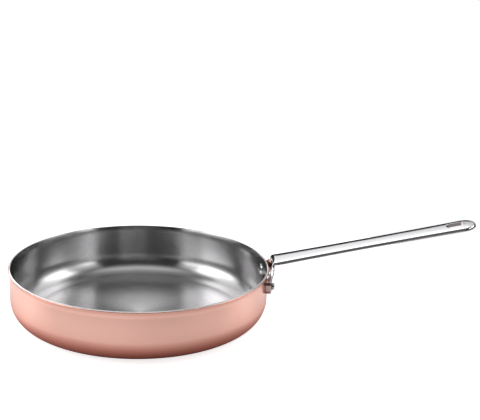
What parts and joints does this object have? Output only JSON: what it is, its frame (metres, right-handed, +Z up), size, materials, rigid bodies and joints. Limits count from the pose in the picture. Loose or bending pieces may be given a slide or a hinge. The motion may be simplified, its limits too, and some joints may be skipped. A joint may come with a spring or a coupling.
{
  "type": "saute pan",
  "caption": "Low straight-sided copper-clad saute pan with a steel lining, rounded base edge, flared rim and a long riveted steel handle with a forked end and a hanging slot.",
  "frame": {"origin": "centre of the pan's flat underside", "axes": "+Z up, +X from the pan's centre along the handle, +Y to the side of rivet_right"},
  "size_m": [0.4719, 0.2626, 0.1054],
  "materials": {
    "copper": "satin polished copper",
    "core_aluminium": "plain, seen only at the rounded rim",
    "liner_steel": "brushed round the pan's axis",
    "handle_steel": "polished",
    "rivet_steel": "polished"
  },
  "bodies": {
    "root": {"copper_shell": "copper", "aluminium_core": "core_aluminium", "steel_liner": "liner_steel", "handle": "handle_steel", "rivet_left": "rivet_steel", "rivet_right": "rivet_steel"}
  },
  "joints": []
}
